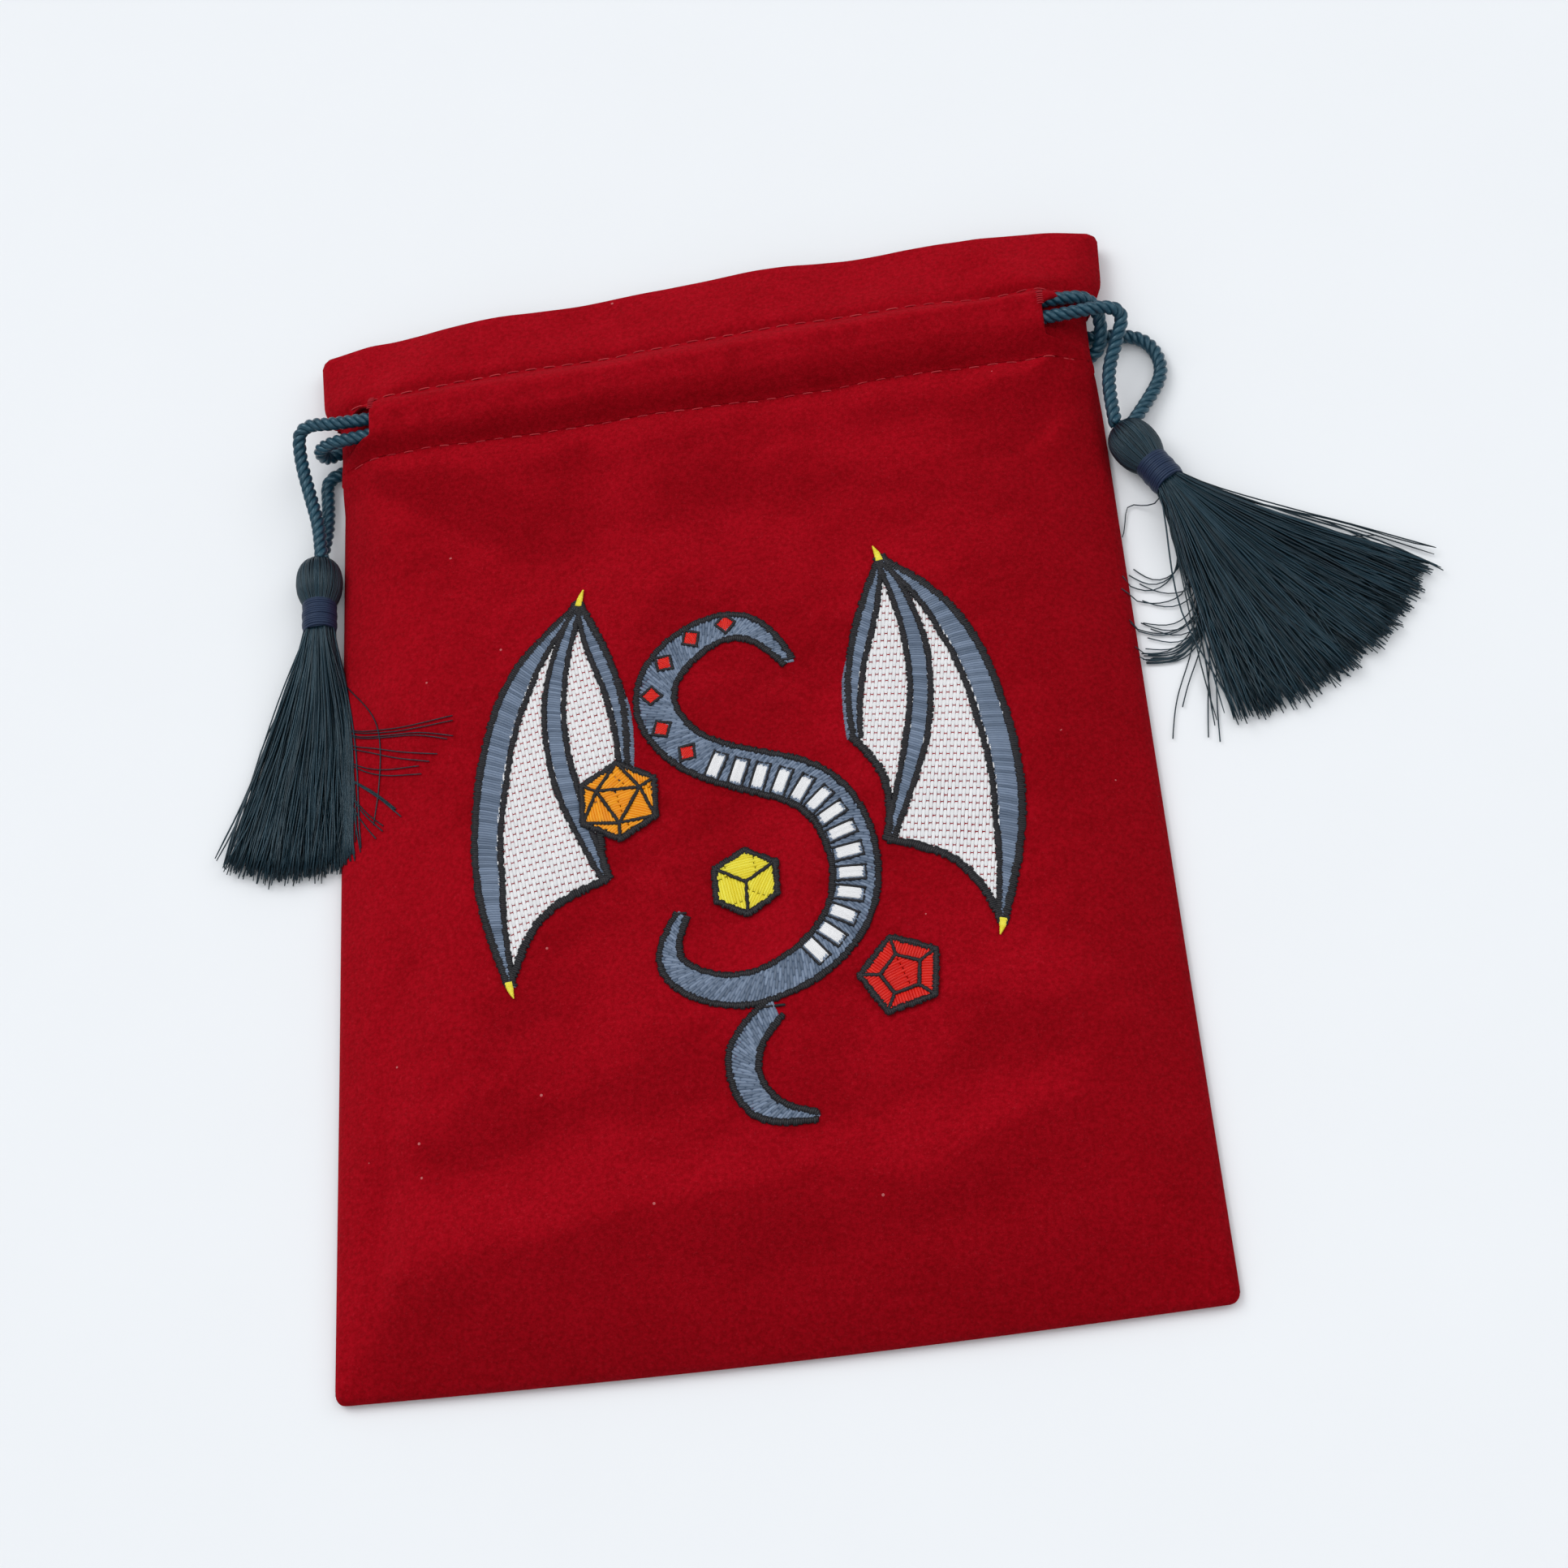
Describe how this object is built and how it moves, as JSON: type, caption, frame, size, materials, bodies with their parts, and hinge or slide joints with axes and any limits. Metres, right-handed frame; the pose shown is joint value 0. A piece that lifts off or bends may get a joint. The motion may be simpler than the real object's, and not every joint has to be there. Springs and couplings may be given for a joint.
{
  "type": "drawstring dice bag",
  "caption": "Flat velvet drawstring pouch with an embroidered front, double twisted drawcords through a sewn casing and a thread tassel at each side.",
  "frame": {"origin": "middle of the bag on the flat underside of its back panel, which is the surface it rests on", "axes": "+X across the bag to the right tassel, +Y from the bottom seam to the mouth, +Z out of the embroidered front"},
  "size_m": [0.1916, 0.18, 0.0123],
  "materials": {
    "velvet": "velvet",
    "sewing_thread": "satin",
    "stabiliser": "matte",
    "black_thread": "satin",
    "white_thread": "satin",
    "blue_grey_thread": "satin",
    "red_thread": "satin",
    "yellow_thread": "satin",
    "orange_thread": "satin",
    "cord": "satin",
    "bead_wood": "matte",
    "tassel_thread": "satin",
    "binding_thread": "satin"
  },
  "bodies": {
    "pouch": {"front_panel": "velvet", "back_panel": "velvet", "front_hem": "velvet", "back_hem": "velvet", "front_casing": "velvet", "back_casing": "velvet", "front_header": "velvet", "back_header": "velvet", "side_seam_left": "velvet", "side_seam_right": "velvet", "bottom_seam": "velvet", "front_lower_stitches": "sewing_thread", "front_upper_stitches": "sewing_thread", "back_lower_stitches": "sewing_thread", "back_upper_stitches": "sewing_thread", "embroidery_backing": "stabiliser", "embroidery_outline": "black_thread", "embroidery_wing_left": "white_thread", "embroidery_wing_right": "white_thread", "embroidery_rungs": "white_thread", "embroidery_scroll": "blue_grey_thread", "embroidery_spars": "blue_grey_thread", "embroidery_trim": "red_thread", "embroidery_die_red": "red_thread", "embroidery_tips": "yellow_thread", "embroidery_die_yellow": "yellow_thread", "embroidery_die_orange": "orange_thread"},
    "mouth_left": {"mouth_seam_left": "velvet", "slit_tack_left": "sewing_thread"},
    "mouth_right": {"mouth_seam_right": "velvet", "slit_tack_right": "sewing_thread"},
    "cord_left": {"drawstring_left": "cord"},
    "cord_right": {"drawstring_right": "cord"},
    "tassel_left": {"tassel_left_bead": "bead_wood", "tassel_left_head": "tassel_thread", "tassel_left_knot": "cord", "tassel_left_binding": "binding_thread", "tassel_left_skirt": "tassel_thread"},
    "tassel_right": {"tassel_right_bead": "bead_wood", "tassel_right_head": "tassel_thread", "tassel_right_knot": "cord", "tassel_right_binding": "binding_thread", "tassel_right_skirt": "tassel_thread"}
  },
  "joints": [
    {"name": "draw_right", "type": "slide", "parent": "pouch", "child": "cord_right", "axis": [1, 0, 0], "range_m": [0, 0.038], "deforming": ["front_hem", "back_hem", "front_casing", "back_casing", "front_header", "back_header", "front_panel", "back_panel", "front_lower_stitches", "front_upper_stitches", "back_lower_stitches", "back_upper_stitches"]},
    {"name": "draw_left", "type": "slide", "parent": "pouch", "child": "cord_left", "axis": [-1, 0, 0], "range_m": [0, 0.038]},
    {"name": "gather_left", "type": "slide", "parent": "pouch", "child": "mouth_left", "axis": [1, 0, 0], "range_m": [0, 0.038]},
    {"name": "gather_right", "type": "slide", "parent": "pouch", "child": "mouth_right", "axis": [-1, 0, 0], "range_m": [0, 0.038]},
    {"name": "swing_left", "type": "hinge", "parent": "cord_left", "child": "tassel_left", "pos_m": [-0.0662, 0.045, 0.00385], "axis": [0, 0, -1], "range_deg": [0, 100]},
    {"name": "swing_right", "type": "hinge", "parent": "cord_right", "child": "tassel_right", "pos_m": [0.0673, 0.0482, 0.00385], "axis": [0, 0, 1], "range_deg": [0, 70]}
  ],
  "couplings": [
    {"joint": "draw_left", "follows": "draw_right", "ratio": 1},
    {"joint": "gather_left", "follows": "draw_right", "ratio": 1},
    {"joint": "gather_right", "follows": "draw_right", "ratio": 1}
  ]
}
